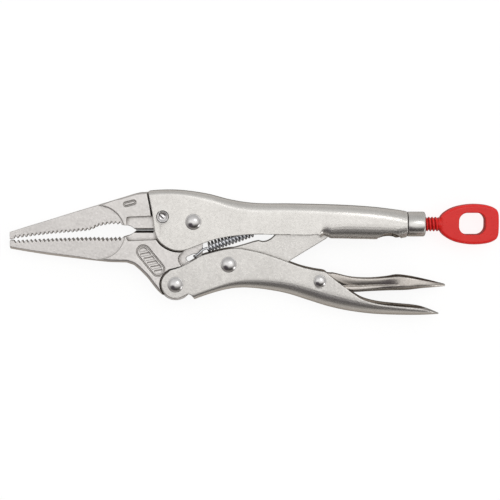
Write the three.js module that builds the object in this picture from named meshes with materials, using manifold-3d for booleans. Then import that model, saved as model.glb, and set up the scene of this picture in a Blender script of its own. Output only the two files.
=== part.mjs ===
// Long-nose locking pliers, lying flat on one side, jaws closed and locked.
// Millimetres. +Z runs along the pivots, the nose points to -X and the fixed handle lies to +Y.
// The origin is on the main pivot's axis, in the plane that the pliers rest on.

import * as THREE from 'three';
import { mergeVertices } from 'three/addons/utils/BufferGeometryUtils.js';
import Module from 'manifold-3d';

const wasm = await Module();
wasm.setup();

// ---------------------------------------------------------------- driving dimensions

const REST_HEIGHT = 7.75; // middle plane above the resting plane
const GAP = 0.3; // between pieces that touch
const RUNNING = 0.2; // radial clearance round a rivet

const SHEET = 2.2; // handle sheet
const CHEEK = 6.15; // half width over the handles' cheeks
const TANG = 3.65; // half thickness of the jaw tangs
const BODY = 6; // half thickness of the jaw bodies
const NOSE = 1.7; // half thickness of the nose tip
const FLANK = 5.4; // half thickness of the nose where it meets the body
const TAB = 1.2; // half thickness of the spring tab

const MAIN_PIVOT = [0, 0];
const JAW_PIVOT = [-8.6, -30];
const LINK_PIVOT = [16.8, -20.4];
const LEVER_PIVOT = [60.4, -28.3];
const FIXING_PIN = [-14.6, 2.4];
const RIVET = { shank: 2.6, head: 3.75 };
const LEVER_RIVET = { shank: 2.1, head: 3 };
const PIN_RADIUS = 2.7;
const HEAD_SEAT = CHEEK + 0.1; // underside of the rivet heads

const NOSE_END = -88.2; // x of the nose tips
const FLANK_END = -45.5; // x where the flanks turn into a round end
const FLANK_RADIUS = 13;
const TOOTH_PITCH = 2.05;
const TOOTH_DEPTH = 1.6;
const BITE_Y = -4.3; // height of the wire cutter's edges

const SCREW_Y = -1.4; // height of the screw's axis
const THREAD_RADIUS = 3.5;
const THREAD_PITCH = 1.6;
const LINK_HALF = 3.2; // half thickness of the toggle link
const SCREW_TIP = 68.8; // x of the screw's inner end
const HANDLE_END = 102.2;
const COLLAR_FACE = HANDLE_END + GAP; // x where the collar meets the handle
const COLLAR_END = 110.9;

const SATIN = { color: 0xd7d1cb, roughness: 0.38, metalness: 0.9 };
const FORGED = { color: 0xcdc7c1, roughness: 0.45, metalness: 0.9 };
const BRIGHT = { color: 0xdedbd8, roughness: 0.2, metalness: 1 };
const STEEL = { color: 0xb9b8b6, roughness: 0.3, metalness: 1 };
const RED = { color: 0xd8322f, roughness: 0.35, metalness: 0.1 };

// ---------------------------------------------------------------- shape helpers

const vector = ([x, y]) => new THREE.Vector2(x, y);
const line = (...points) => points.map(vector);
const curve = (points, steps = 3 * points.length) => (
  new THREE.SplineCurve(points.map(vector)).getPoints(steps)
);

function arc([x, y], radius, from, to, steps = 12) {
  return Array.from({ length: steps + 1 }, (_, i) => {
    const angle = THREE.MathUtils.degToRad(THREE.MathUtils.lerp(from, to, i / steps));
    return new THREE.Vector2(x + radius * Math.cos(angle), y + radius * Math.sin(angle));
  });
}

// a shape from runs of points, without the point that two runs share
function region(...runs) {
  const points = runs.flat();
  return new THREE.Shape(points.filter((p, i) => i === 0 || p.distanceTo(points[i - 1]) > 0.01));
}

const circle = (centre, radius, steps = 28) => region(arc(centre, radius, 0, 360, steps).slice(1));

// a slot with round ends, turned about its centre
function stadium([x, y], length, width, degrees, steps = 8) {
  const reach = (length - width) / 2;
  const ends = [
    ...arc([reach, 0], width / 2, -90, 90, steps),
    ...arc([-reach, 0], width / 2, 90, 270, steps),
  ];
  const centre = new THREE.Vector2();
  const turn = THREE.MathUtils.degToRad(degrees);
  return new THREE.Shape(ends.map((p) => p.rotateAround(centre, turn).add(vector([x, y]))));
}

// smooth height y(x) through a short list of [x, y]
function profile(points) {
  const slope = points.map((_, i) => {
    const [a, b] = [points[Math.max(i - 1, 0)], points[Math.min(i + 1, points.length - 1)]];
    return (b[1] - a[1]) / (b[0] - a[0]);
  });
  return (x) => {
    let i = points.findIndex((p) => p[0] > x) - 1;
    if (i < 0) i = x < points[0][0] ? 0 : points.length - 2;
    const [[x0, y0], [x1, y1]] = [points[i], points[i + 1]];
    const span = x1 - x0;
    const t = THREE.MathUtils.clamp((x - x0) / span, 0, 1);
    const rise = y1 - y0;
    const [a, b] = [slope[i] * span - rise, rise - slope[i + 1] * span];
    return y0 + t * rise + t * (1 - t) * ((1 - t) * a + t * b);
  };
}

function solid(geometry) {
  geometry.deleteAttribute('normal');
  geometry.deleteAttribute('uv');
  const merged = mergeVertices(geometry, 1e-4);
  const mesh = new wasm.Mesh({
    numProp: 3,
    vertProperties: new Float32Array(merged.attributes.position.array),
    triVerts: new Uint32Array(merged.index.array),
  });
  return new wasm.Manifold(mesh);
}

function plate(shape, from, to) {
  const geometry = new THREE.ExtrudeGeometry(shape, { depth: to - from, bevelEnabled: false });
  return solid(geometry.translate(0, 0, from));
}

const middlePlate = (shape, half) => plate(shape, -half, half);

// the same cut or pad on both sides of the middle plane
const bothSides = (shape, from, to) => plate(shape, from, to).add(plate(shape, -to, -from));

// a plate whose edges slope in by `inset` over the last `depth` of each side
function bevelledPlate(shape, half, depth, inset, segments = 2) {
  const geometry = new THREE.ExtrudeGeometry(shape, {
    depth: 2 * (half - depth),
    bevelThickness: depth,
    bevelSize: inset,
    bevelOffset: -inset,
    bevelSegments: segments,
  });
  return solid(geometry.translate(0, 0, depth - half));
}

// a closed skin through one ring of [y, z] points at each x
function loft(stations, ring) {
  const rings = stations.map((x) => ring(x).map(([y, z]) => [x, y, z]));
  const count = rings[0].length;
  const index = [];
  for (let s = 0; s < rings.length - 1; s += 1) {
    for (let i = 0; i < count; i += 1) {
      const a = s * count + i;
      const b = s * count + ((i + 1) % count);
      index.push(a, b, a + count, b, b + count, a + count);
    }
  }
  const faces = THREE.ShapeUtils.triangulateShape(rings[0].map(([, y, z]) => vector([y, z])), []);
  const last = (rings.length - 1) * count;
  faces.forEach(([a, b, c]) => index.push(a, c, b));
  const ends = THREE.ShapeUtils.triangulateShape(rings.at(-1).map(([, y, z]) => vector([y, z])), []);
  ends.forEach(([a, b, c]) => index.push(last + a, last + b, last + c));
  const geometry = new THREE.BufferGeometry();
  geometry.setAttribute('position', new THREE.Float32BufferAttribute(rings.flat(2), 3));
  geometry.setIndex(index);
  return solid(geometry);
}

// a ring from y `low` to y `high`, with elliptical corners of [y, z] radii
function roundedRing(low, high, half, [lowY, lowZ], [highY, highZ], steps = 4) {
  const corners = [
    [high - highY, highZ - half, highY, highZ, -90],
    [high - highY, half - highZ, highY, highZ, 0],
    [low + lowY, half - lowZ, lowY, lowZ, 90],
    [low + lowY, lowZ - half, lowY, lowZ, 180],
  ];
  return corners.flatMap(([y, z, radiusY, radiusZ, start]) => (
    arc([0, 0], 1, start, start + 90, steps).map((p) => [y + radiusY * p.x, z + radiusZ * p.y])
  ));
}

// a bar along X with a constant [y, z] outline
function bar(outline, from, to) {
  const clockwise = THREE.ShapeUtils.isClockWise(outline.map(vector));
  return loft([from, to], () => (clockwise ? outline.toReversed() : outline));
}

// a turned piece about the X axis at the screw's height: points are [radius, x]
function turned(points, segments = 28) {
  const geometry = new THREE.LatheGeometry(points.map(vector), segments);
  geometry.rotateZ(-Math.PI / 2);
  return solid(geometry.translate(0, SCREW_Y, 0));
}

const stations = (from, to, step) => (
  Array.from({ length: Math.round((to - from) / step) + 1 }, (_, i) => from + i * step)
);

// ---------------------------------------------------------------- jaws

// a toothed edge along a smooth line, from left to right
function teeth(points, depth) {
  const path = new THREE.SplineCurve(points.map(vector));
  const count = Math.round(path.getLength() / TOOTH_PITCH);
  const edge = [];
  for (let i = 0; i < count; i += 1) {
    const root = path.getPointAt((i + 0.5) / count);
    edge.push(path.getPointAt(i / count), root.setY(root.y + depth));
  }
  return [...edge, path.getPointAt(1)];
}

const upperTeeth = teeth(
  [[-86.4, -8.5], [-70, -6.3], [-51, -4.5], [-46, -2.6], [-40, -1.4], [-34, -1.5]],
  TOOTH_DEPTH,
);
const lowerTeeth = teeth(
  [[-86.4, -9.1], [-70, -8.3], [-50, -7.7], [-42, -7.9], [-34, -7.6]],
  -TOOTH_DEPTH,
);

const FLANK_REACH = FLANK_END + FLANK_RADIUS;
const flankHalf = (x) => THREE.MathUtils.mapLinear(x, NOSE_END, FLANK_REACH, NOSE, FLANK);

// the wedge that both nose flanks are ground to, ending in a round shoulder
function flankCut() {
  const start = NOSE_END - 4;
  const end = FLANK_REACH + 1;
  const section = region(line(
    [start, flankHalf(start)], [end, flankHalf(end)], [end, BODY + 2], [start, BODY + 2],
  ));
  // drawn in X and Z, then turned so that it runs through along Y
  const wedge = new THREE.ExtrudeGeometry(section, { depth: 60, bevelEnabled: false });
  wedge.rotateX(Math.PI / 2).translate(0, 30, 0);
  const outline = region(
    line([start, 30]),
    line([start, -30], [FLANK_END, -5 - FLANK_RADIUS]),
    arc([FLANK_END, -5], FLANK_RADIUS, -90, 90, 24),
    line([FLANK_END, 30]),
  );
  const side = solid(wedge).intersect(plate(outline, 0, BODY + 3));
  return side.add(side.mirror([0, 0, 1]));
}

const flanks = flankCut();

const belly = [
  [-88.2, -13.2], [-80, -14.6], [-70, -16.1], [-60, -17.3], [-50, -18.4], [-40, -19.4], [-32, -19.6],
];

// the broken edge along the belly of the lower nose, on both sides
function bellyBevel() {
  const height = profile([[-92, -12.5], ...belly]);
  const width = profile([[-92, 1], [-56, 1], [-42, 0.2]]);
  const side = loft(stations(-92, -42, 6.25), (x) => {
    const [y, z, w] = [height(x), flankHalf(x), width(x)];
    return [[y + 1.5 * w, z + 0.75 * w], [y - 2, z + 2], [y - 0.5 * w, z - 2.25 * w]];
  });
  return side.add(side.mirror([0, 0, 1]));
}

// the round hollow that the cutter's two blades lie in, sunk to the tang's thickness
const cutterPocket = region(
  line([-31.8, 1.6]),
  curve([[-31.6, 2.1], [-30.6, 2.35], [-24, 2.6], [-17, 2.9]], 8),
  line([-17, -8.5], [-30.6, -9.1]),
  arc([-30.6, -7.9], 1.2, -90, -180, 4),
);

// a running hole for a rivet or pin, right through the tool
const bore = (centre, radius) => middlePlate(circle(centre, radius + RUNNING), REST_HEIGHT + 4);

// one half of the V between the blades: dy is +1 above the edge and -1 below it
function bladeBevel(dy) {
  const edge = BITE_Y + dy * 0.1;
  const section = (side) => [
    [edge - dy * 0.6, side * 0.3], [edge, side * 0.3],
    [edge + dy * 0.95, side * TANG], [edge + dy * 1.6, side * (TANG + 3)],
    [edge - dy * 0.6, side * (TANG + 3)],
  ];
  return bar(section(1), -28.6, -19).add(bar(section(-1), -28.6, -19));
}

function fixedJaw() {
  const back = [
    [-88.2, -5.2], [-80, -2.6], [-70, 0.4], [-60, 3.5], [-50, 6.5], [-42, 8.9], [-34, 11.3], [-27, 13.4],
  ];
  const mouth = curve([[-34, -1.5], [-31, -1.9], [-29, -2.8], [-27.6, BITE_Y + 0.1]], 9);
  const bladeEdge = line([-27.6, BITE_Y + 0.1], [-9.4, BITE_Y + 0.1]);
  const jawLine = [...line([NOSE_END, -8.6]), ...upperTeeth, ...mouth];
  const bodyEnd = line([-21.8, 13.9], [-20.6, 8], [-19.9, 3.2], [-19.8, BITE_Y], [-19.8, -20]);
  const bodyRegion = region(line([-92, -20], [-92, -6.4]), curve([...back, [-21.8, 13.9]], 24), bodyEnd);
  const body = bevelledPlate(bodyRegion, BODY, 1.1, 0.6);
  const outline = region(jawLine, bladeEdge, line([-9, 20], [NOSE_END, 20]));
  const tang = region(
    curve([...back, [-24.4, 13.9]], 24),
    line([-24.4, 12.4]),
    curve([[-21, 11.6], [-12, 12], [-4, 11.6], [4, 10.5]], 7),
    line([4.6, 8]),
    arc(MAIN_PIVOT, 8.9, 61, 207, 18),
    bladeEdge.toReversed(),
    jawLine.toReversed(),
  );
  const markAt = [-30.2, 8.8];
  const mark = plate(stadium(markAt, 6.4, 2.5, 14), BODY - 0.6, BODY + 1)
    .subtract(plate(stadium(markAt, 4.8, 0.9, 14), BODY - 0.6, BODY + 1));
  return body.intersect(middlePlate(outline, BODY + 1))
    .subtract(bothSides(cutterPocket, TANG, BODY + 1))
    .add(middlePlate(tang, TANG))
    .subtract(flanks)
    .subtract(bladeBevel(1))
    .subtract(mark)
    .subtract(bore(FIXING_PIN, PIN_RADIUS));
}

// a sunk panel with a raised rim and plain slanted bars
function panel(part) {
  const [centre, turn] = [[-20.4, -18.6], -51];
  const rim = plate(stadium(centre, 16.4, 5.4, turn), BODY - 0.7, BODY - 0.1)
    .subtract(plate(stadium(centre, 15.2, 4.2, turn), BODY - 0.8, BODY));
  const inner = plate(stadium(centre, 14.8, 3.8, turn), BODY - 0.7, BODY);
  let bars = rim;
  for (let i = -2; i <= 2; i += 1) {
    const along = THREE.MathUtils.degToRad(turn);
    const at = [centre[0] + 2.6 * i * Math.cos(along), centre[1] + 2.6 * i * Math.sin(along)];
    bars = bars.add(plate(stadium(at, 4.6, 0.9, turn + 62, 3), BODY - 0.7, BODY - 0.2).intersect(inner));
  }
  return part.subtract(plate(stadium(centre, 18, 6.8, turn), BODY - 0.6, BODY + 1)).add(bars);
}

function lowerJaw() {
  const arm = [
    [-32, -19.6], [-28.5, -20.8], [-25.4, -23.5], [-22, -27], [-19.8, -30], [-17, -33.4], [-15, -35.2],
  ];
  const mouth = curve([[-34, -7.6], [-31.5, -6.9], [-29.4, -5.9], [-27.6, BITE_Y - 0.1]], 9);
  const jawLine = [...line([NOSE_END, -9]), ...lowerTeeth, ...mouth];
  const outline = region(
    jawLine,
    line([-7.3, BITE_Y - 0.1]),
    arc(MAIN_PIVOT, 8.5, 211, -58, 30),
    curve([[4.4, -10], [3.9, -17.4], [1.6, -20.2], [-1.8, -23.5]], 9),
    arc(JAW_PIVOT, 7.8, 22, -140, 20),
    arm.toReversed().map(vector),
    belly.toReversed().map(vector),
  );
  const tabEdge = curve([[-4.7, -14.2], [-6.1, -15.2], [-7.2, -17], [-7.2, -19], [-5.9, -21.3]], 10);
  const bodyRegion = region(
    line([-92, 0], [-31.8, 0], [-31.8, -7.9]),
    arc([-30.6, -7.9], 1.2, 180, 270, 4),
    line([-17.8, -8.6]),
    curve([[-17.8, -8.6], [-15.7, -11.2], [-12.5, -13.3], [-9.2, -14.4], [-6, -14.6], [-4.7, -14.2]], 12),
    tabEdge,
    curve([[-5.9, -21.3], [-9, -22.1], [-12.1, -22.9]], 5),
    arc(JAW_PIVOT, 7.7, 116, 222, 12),
    line([-17, -45], [-92, -45]),
  );
  const lowerEdge = region(
    line([-92, 0], [-92, -12.4]),
    curve(belly, 14),
    curve(arm, 16),
    line([-13, -38], [6, -38], [6, 0]),
  );
  const body = bevelledPlate(lowerEdge, BODY, 3, 1.5, 3)
    .intersect(middlePlate(outline, BODY + 1))
    .intersect(middlePlate(bodyRegion, BODY + 1));
  const tabRegion = region(tabEdge, line([-3.8, -23.4], [9, -23.4], [9, -10.4], [-3.6, -10.4]));
  const springSlot = stadium([-1.1, -17.55], 5.4, 2.6, 24);
  const jaw = body.add(middlePlate(outline, TANG))
    .subtract(flanks)
    .subtract(bellyBevel())
    .subtract(bladeBevel(-1))
    .subtract(bothSides(tabRegion, TAB, BODY + 1))
    .subtract(middlePlate(springSlot, BODY))
    .subtract(bore(MAIN_PIVOT, RIVET.shank))
    .subtract(bore(JAW_PIVOT, RIVET.shank));
  return panel(jaw);
}

// ---------------------------------------------------------------- handles

const handleTop = profile([
  [-23, 14.4], [-16, 15], [-8, 15], [0, 14.2], [8, 12.8], [16, 10.7], [24, 9.2], [32, 8.5], [46, 8.4],
  [60, 8.1], [72, 7.7], [86, 6.8], [98, 5.4], [HANDLE_END, 4.7],
]);
const handleBottom = profile([
  [-23, -22], [56, -22], [61, -7.6], [66, -8.2], [80, -8.7], [92, -8.8], [98, -8.4], [HANDLE_END, -7.6],
]);
const handleHalf = profile([
  [-23, CHEEK], [30, CHEEK], [60, 7.1], [72, 7.55], [88, 7.4], [98, 6.6], [HANDLE_END, 6.1],
]);

// [y, z] radii of the section's upper and lower corners
const upperBendY = profile([
  [-23, 2.6], [-6, 2.6], [8, 3.6], [20, 4.6], [45, 4], [75, 4.8], [HANDLE_END, 5.2],
]);
const upperBendZ = profile([[-23, 2.4], [0, 2.6], [20, 3.4], [60, 3.8], [92, 4.6], [HANDLE_END, 5.4]]);
const lipY = profile([
  [-23, 0.6], [54, 0.6], [58, 2.8], [61, 4.8], [70, 7.6], [90, 7.8], [98, 6.4], [HANDLE_END, 6],
]);
const lipZ = profile([[-23, 0.6], [54, 0.6], [58, 2], [61, 3.4], [72, 5.2], [92, 5.2], [HANDLE_END, 5.6]]);
const SCALLOP_FLOOR = -4.6; // inner face of the cheek that the scallop leaves standing

function upperHandle() {
  const along = [
    ...stations(-21.4, 32.6, 6), 44, 54, 58, 61, ...stations(66, 86, 5), 90, 94, 98, 100.4, HANDLE_END,
  ];
  const outer = loft(along, (x) => roundedRing(
    handleBottom(x), handleTop(x), handleHalf(x), [lipY(x), lipZ(x)], [upperBendY(x), upperBendZ(x)],
  ));
  // an open channel in front; at the back the round seat of the collar's spigot
  const seat = 4.9;
  const hollow = loft([-25, ...along.slice(1), HANDLE_END + 1], (x) => {
    const mix = (channel, round) => (
      THREE.MathUtils.lerp(channel, round, THREE.MathUtils.smoothstep(x, 86, 96))
    );
    const inner = (radius) => mix(Math.max(radius - SHEET, 0.5), seat - 0.1);
    return roundedRing(
      mix(x < 58 ? -30 : handleBottom(x) + SHEET, SCREW_Y - seat),
      mix(handleTop(x) - SHEET, SCREW_Y + seat),
      mix(handleHalf(x) - SHEET, seat),
      [inner(lipY(x)), inner(lipZ(x))],
      [inner(SHEET + 1.2), inner(SHEET + 1.2)],
      3,
    );
  });
  const slit = middlePlate(region(line([50, -14], [96, -14], [96, -3], [50, -3])), 3.7);
  const edge = region(
    line([-21.4, 20], [-21.4, 14.4]),
    curve([[-21.4, 14.4], [-20.4, 9], [-19.5, 4], [-18.8, -1], [-18.3, -5], [-17, -8.3], [-14.9, -10.7],
      [-12, -12.6], [-9, -13.6], [-6, -13.8], [-3, -13.2], [0, -12.1], [5, -10.2], [10, -8.5],
      [16, -7.2], [23, -6.4], [30, -6], [40, -6.1], [50, -6.3], [56, -6.4]], 40),
    line([58.6, -5.9], [60.6, -6.5], [61.4, -12], [87, -12]),
    curve([[88, -9.4], [89.6, -8.3], [91.6, -7.7], [94, -7.5], [96.4, -7.8], [98.2, -8.7]], 10),
    line([98.8, -12], [105, -12], [105, 20]),
  );
  // the scallop is cut deeper in one cheek than in the other
  const scallop = region(
    line([86, -12]),
    curve([[87, -9.4], [88.4, -7.6], [91, -5.9], [94, -5.4], [97, -6.2], [99.4, -8]], 12),
    line([100, -12]),
  );
  return outer.subtract(hollow)
    .subtract(slit)
    .intersect(middlePlate(edge, REST_HEIGHT + 4))
    .subtract(plate(scallop, SCALLOP_FLOOR, REST_HEIGHT + 4))
    .add(springTongue())
    .subtract(bore(MAIN_PIVOT, RIVET.shank))
    .subtract(bore(FIXING_PIN, PIN_RADIUS));
}

// the tongue lanced out of the handle's back, which the spring hooks on
const TONGUE_X = 31.5;

function springTongue() {
  const shape = region(line(
    [TONGUE_X, 7.2], [TONGUE_X - 1, -1], [TONGUE_X - 1, -4.4], [TONGUE_X + 0.6, -4.4], [TONGUE_X + 0.6, -1],
    [TONGUE_X + 1.8, 7.2],
  ));
  const window = bar([[-3.2, 1], [-3.2, -1], [-1, -1], [-1, 1]], TONGUE_X - 4, TONGUE_X + 4);
  return middlePlate(shape, 2.4).subtract(window);
}

const lowerBottom = profile([
  [-17, -45], [-3.2, -44], [-1.4, -38.2], [0.4, -37.3], [5, -35.6], [10, -34], [15, -32.7], [20, -31.9],
  [26, -31.8], [35, -32.8], [45, -34.8], [55, -38], [65, -41.1], [75, -43.2], [88, -44.7], [104, -45.1],
  [118, -44.6],
]);
const lowerHalf = profile([
  [-17, CHEEK], [50, CHEEK], [64, 6.5], [76, 7.2], [90, 7.6], [104, 7.5], [111, 6.5], [116, 4.4], [118, 2.6],
]);
const lowerBendY = profile([
  [-17, 2.8], [8, 3], [20, 4.2], [32, 5.6], [50, 7.4], [70, 7.8], [88, 5.8], [106, 3.6], [118, 1.6],
]);
const lowerBendZ = profile([
  [-17, 2.6], [20, 3.4], [50, 5.4], [80, 6.2], [98, 6.8], [106, 6], [111, 4.4], [118, 1.4],
]);

function lowerHandle() {
  const along = [
    -17, -3.2, -1.4, 0.4, 5, 10, 15, 20, 26, 34, 43, 52, 60, 68, 76, 86, 96, 105, 110, 113.5, 116, 118,
  ];
  const outer = loft(along, (x) => (
    roundedRing(lowerBottom(x), 0, lowerHalf(x), [lowerBendY(x), lowerBendZ(x)], [1, 1])
  ));
  const hollow = loft([-20, ...along.slice(1, -1), 121], (x) => {
    const half = Math.max(lowerHalf(x) - SHEET, 0.7);
    const bendY = Math.max(lowerBendY(x) - SHEET, 0.6);
    const bendZ = Math.min(Math.max(lowerBendZ(x) - SHEET, 0.6), half * 0.8);
    return roundedRing(lowerBottom(x) + SHEET, 2, half, [bendY, bendZ], [0.5, 0.5], 3);
  });
  const edge = region(
    arc(JAW_PIVOT, 6.8, 306, 122, 18),
    curve([[-12.2, -24.2], [-11, -23.1], [-8.6, -22.4], [-5.6, -21.3], [-2.4, -19.7], [0.8, -17.9],
      [4, -16.1], [8, -14.9], [13, -13.6], [18, -12.8], [22, -12.8], [28, -13.9], [34, -15.4],
      [40, -17.4], [46, -19.6], [52, -21.7], [58, -23.1], [62.6, -23.9], [64.4, -25.2]], 48),
    line([68, -28.1], [76, -34]),
    curve([[76, -34], [80, -36.6], [84, -38.2], [90, -39.5], [98, -40.4], [106, -41.1], [111, -42],
      [118, -44.4]], 16),
    line([119, -50], [0.4, -50], [0.4, -37.4]),
    curve([[0.4, -37.4], [-0.3, -36.2], [-1.4, -35], [-2.6, -34.6]], 6),
  );
  return outer.subtract(hollow)
    .intersect(middlePlate(edge, REST_HEIGHT + 4))
    .subtract(bore(JAW_PIVOT, RIVET.shank))
    .subtract(bore(LINK_PIVOT, RIVET.shank))
    .subtract(bore(LEVER_PIVOT, LEVER_RIVET.shank));
}

// ---------------------------------------------------------------- toggle link and release lever

function toggleLink() {
  const outline = region(
    arc(LINK_PIVOT, 6.4, 270, 118, 14),
    curve([[13.8, -14.7], [18, -12.9], [24, -11.2], [28.6, -9.8], [31, -9.2]], 12),
    curve([[31, -9.2], [33.4, -9.7], [36, -9], [38.2, -7.4], [40, -5]], 8),
    curve([[40, -5], [44, -1.6], [50, 0.7], [57, 1.6], [63.8, 1.8]], 9),
    arc([63.8, -1.6], 3.4, 90, -40, 8),
    curve([[66.4, -3.8], [65.4, -6.2], [63.6, -8.1]], 4),
    line([46.8, -18.3]),
    curve([[46.8, -18.3], [44, -20.4], [36, -23.4], [27, -25.6], [16.8, -26.8]], 10),
  );
  return bevelledPlate(outline, LINK_HALF, 0.4, 0.4, 1).subtract(bore(LINK_PIVOT, RIVET.shank));
}

const LEVER_END = 120.8;
const LEVER_WALL = 1.3;
const leverTop = profile([
  [44, -20], [60, -23.6], [68, -25.2], [76, -27], [85, -27.4], [93, -26.8], [98, -26.2], [103, -26.7],
  [111, -28.2], [LEVER_END, -30.3],
]);
const leverBottom = profile([
  [44, -30], [60, -33], [76, -34], [85, -33.6], [95, -33.2], [103, -32.9], [110, -31.9], [LEVER_END, -31.2],
]);
const leverHalf = profile([
  [44, 3.5], [84, 3.6], [92, 4.3], [98, 6.2], [103, 6.9], [109, 6.4], [115, 4.6], [LEVER_END, 1.6],
]);
const leverBend = profile([
  [44, 1.8], [84, 1.9], [93, 3], [100, 5], [104, 5.2], [109, 3.2], [115, 1.4], [LEVER_END, 0.4],
]);
// how far the sides of the lever's neck are pressed in above its round bottom edge
const leverWaist = profile([
  [44, 0], [64, 0], [70, 0.8], [88, 0.8], [95, 0.4], [99, 0], [LEVER_END, 0],
]);

function releaseLever() {
  const along = [44, 54, 62, 66, 70, 76, 82, 86, ...stations(89, 113, 3), 116, 118.4, LEVER_END];
  const outer = loft(along, (x) => {
    const [low, high] = [leverBottom(x), leverTop(x)];
    const [half, bend] = [leverHalf(x), leverBend(x)];
    const ledge = Math.min(2.5, 0.5 * (high - low));
    const side = [
      [high, half - 0.2], [high - 0.2, half], [low + 1.2 * ledge, half - leverWaist(x)],
      ...arc([0, 0], 1, 0, 90, 4).map((p) => (
        [low + Math.min(bend, ledge) * (1 - p.y), half - bend * (1 - p.x)]
      )),
    ];
    return [...side, ...side.toReversed().map(([y, z]) => [y, -z])];
  });
  const hollow = loft([43, ...along.slice(1, -2), 117], (x) => {
    const half = Math.max(leverHalf(x) - LEVER_WALL - leverWaist(x), 0.6);
    const floor = Math.min(leverBottom(x) + LEVER_WALL, leverTop(x) - 0.3);
    const bend = Math.min(Math.max(leverBend(x) - LEVER_WALL, 0.4), half * 0.9);
    return roundedRing(floor, leverTop(x) + 4, half, [bend, bend], [0.3, 0.3], 3);
  });
  const edge = region(
    line([47.4, -24.6], [49.2, -23.6]),
    curve([[49.2, -23.6], [54, -24], [60, -24.1], [66, -25], [70, -24]], 9),
    line([122, -20], [122, -36], [76, -36]),
    curve([[76, -36], [66, -33.4], [60, -32.6], [54, -30.6], [50, -28], [47.4, -25.4]], 10),
  );
  return outer.subtract(hollow)
    .intersect(middlePlate(edge, REST_HEIGHT + 4))
    .subtract(bore(LEVER_PIVOT, LEVER_RIVET.shank));
}

// ---------------------------------------------------------------- rivets and pins

// a domed rivet through the stack, headed on both sides
function rivet(centre, { shank, head }, seat = HEAD_SEAT) {
  const top = REST_HEIGHT;
  const rise = top - seat;
  const half = [
    [0, top], [head * 0.45, top], [head * 0.75, top - rise * 0.25], [head * 0.93, top - rise * 0.6],
    [head, seat], [shank, seat],
  ];
  const points = [...half, ...half.toReversed().map(([r, z]) => [r, -z])];
  const geometry = new THREE.LatheGeometry(points.toReversed().map(vector), 20);
  geometry.rotateX(Math.PI / 2).translate(centre[0], centre[1], 0);
  return solid(geometry);
}

// the fixed jaw's pin, pressed flush, with a dished end on each side
function fixingPin() {
  const rim = [
    [0, CHEEK - 1.1], [1, CHEEK - 1], [1.9, CHEEK - 0.6], [2.5, CHEEK - 0.1], [PIN_RADIUS, CHEEK - 0.1],
  ];
  const points = [...rim, ...rim.toReversed().map(([r, z]) => [r, -z])];
  const geometry = new THREE.LatheGeometry(points.toReversed().map(vector), 20);
  geometry.rotateX(Math.PI / 2).translate(...FIXING_PIN, 0);
  return solid(geometry);
}

// ---------------------------------------------------------------- adjusting screw

const RING_X = 71.2; // stop ring's inner face
const RING_THICK = 1.2;
const COLLAR_BORE = THREAD_RADIUS + 0.25;
const LOOP_START = 118;

function adjustingScrew() {
  const core = THREAD_RADIUS - 0.8;
  const points = [
    [0, SCREW_TIP], [2, SCREW_TIP], [3, SCREW_TIP + 0.8], [3, RING_X - GAP], [2.5, RING_X - GAP],
    [2.5, RING_X + RING_THICK + GAP], [3, RING_X + RING_THICK + GAP],
  ];
  for (let x = RING_X + 3; x < LOOP_START - 0.9; x += THREAD_PITCH) {
    points.push([core, x], [THREAD_RADIUS, x + THREAD_PITCH / 2]);
  }
  points.push([core, LOOP_START - 0.4], [3.1, LOOP_START], [3.4, LOOP_START + 2.5], [0, LOOP_START + 4]);
  const spindle = turned(points, 14);
  const upper = [
    [LOOP_START, 2], [119.6, 3.9], [122.6, 5.9], [126, 7.2], [130, 8], [134, 8.3], [138, 8.1], [141.4, 7.5],
    [144, 6.4], [145.5, 4.9], [146.1, 2],
  ];
  const lower = upper.toReversed().map(([x, y]) => [x, 2 * SCREW_Y - y]);
  const loop = region(curve([...upper, ...lower], 44));
  const corners = [[135.5, 0.1, 0], [131, 0.1, 90], [131, -2.3, 180], [135.5, -2.3, 270]];
  const hole = corners.flatMap(([x, y, start]) => arc([x, y], 4, start, start + 90, 5));
  loop.holes.push(new THREE.Path(hole));
  return spindle.add(bevelledPlate(loop, 3.6, 1.6, 1.3, 3));
}

const COLLAR_RADIUS = 5.95;
const SPIGOT = { start: 96.8, radius: 4.6 };

function screwCollar() {
  return turned([
    [COLLAR_BORE, SPIGOT.start], [SPIGOT.radius, SPIGOT.start], [SPIGOT.radius, COLLAR_FACE],
    [COLLAR_RADIUS - 0.3, COLLAR_FACE], [COLLAR_RADIUS, COLLAR_FACE + 0.4],
    [COLLAR_RADIUS, COLLAR_END - 0.7], [COLLAR_RADIUS - 0.7, COLLAR_END],
    [COLLAR_BORE, COLLAR_END], [COLLAR_BORE, SPIGOT.start],
  ]);
}

// an open ring that snaps into the groove near the screw's inner end
function stopRing() {
  const [inner, outer, end] = [2.8, 4.2, RING_X + RING_THICK];
  const ring = turned([[inner, RING_X], [outer, RING_X], [outer, end], [inner, end], [inner, RING_X]]);
  const mouth = region(line(
    [RING_X - 1, -8], [end + 1, -8], [end + 1, SCREW_Y - 1], [RING_X - 1, SCREW_Y - 1],
  ));
  return ring.subtract(middlePlate(mouth, 1.6));
}

// ---------------------------------------------------------------- return spring

const WIRE = 0.55; // wire radius

class SpringPath extends THREE.Curve {
  constructor(from, to, radius, pitch) {
    super();
    this.start = vector(from);
    this.along = vector(to).sub(this.start);
    this.radius = radius;
    this.turns = Math.round(this.along.length() / pitch) + 0.5;
  }

  getPoint(t, target = new THREE.Vector3()) {
    const angle = 2 * Math.PI * this.turns * t + Math.PI / 2;
    const unit = this.along.clone().normalize();
    const side = this.radius * Math.cos(angle);
    return target.set(
      this.start.x + this.along.x * t - unit.y * side,
      this.start.y + this.along.y * t + unit.x * side,
      this.radius * Math.sin(angle),
    );
  }
}

function wire(path, steps) {
  const section = region(arc([0, 0], WIRE, 0, 360, 5).slice(1));
  return solid(new THREE.ExtrudeGeometry(section, { steps, extrudePath: path }));
}

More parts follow.
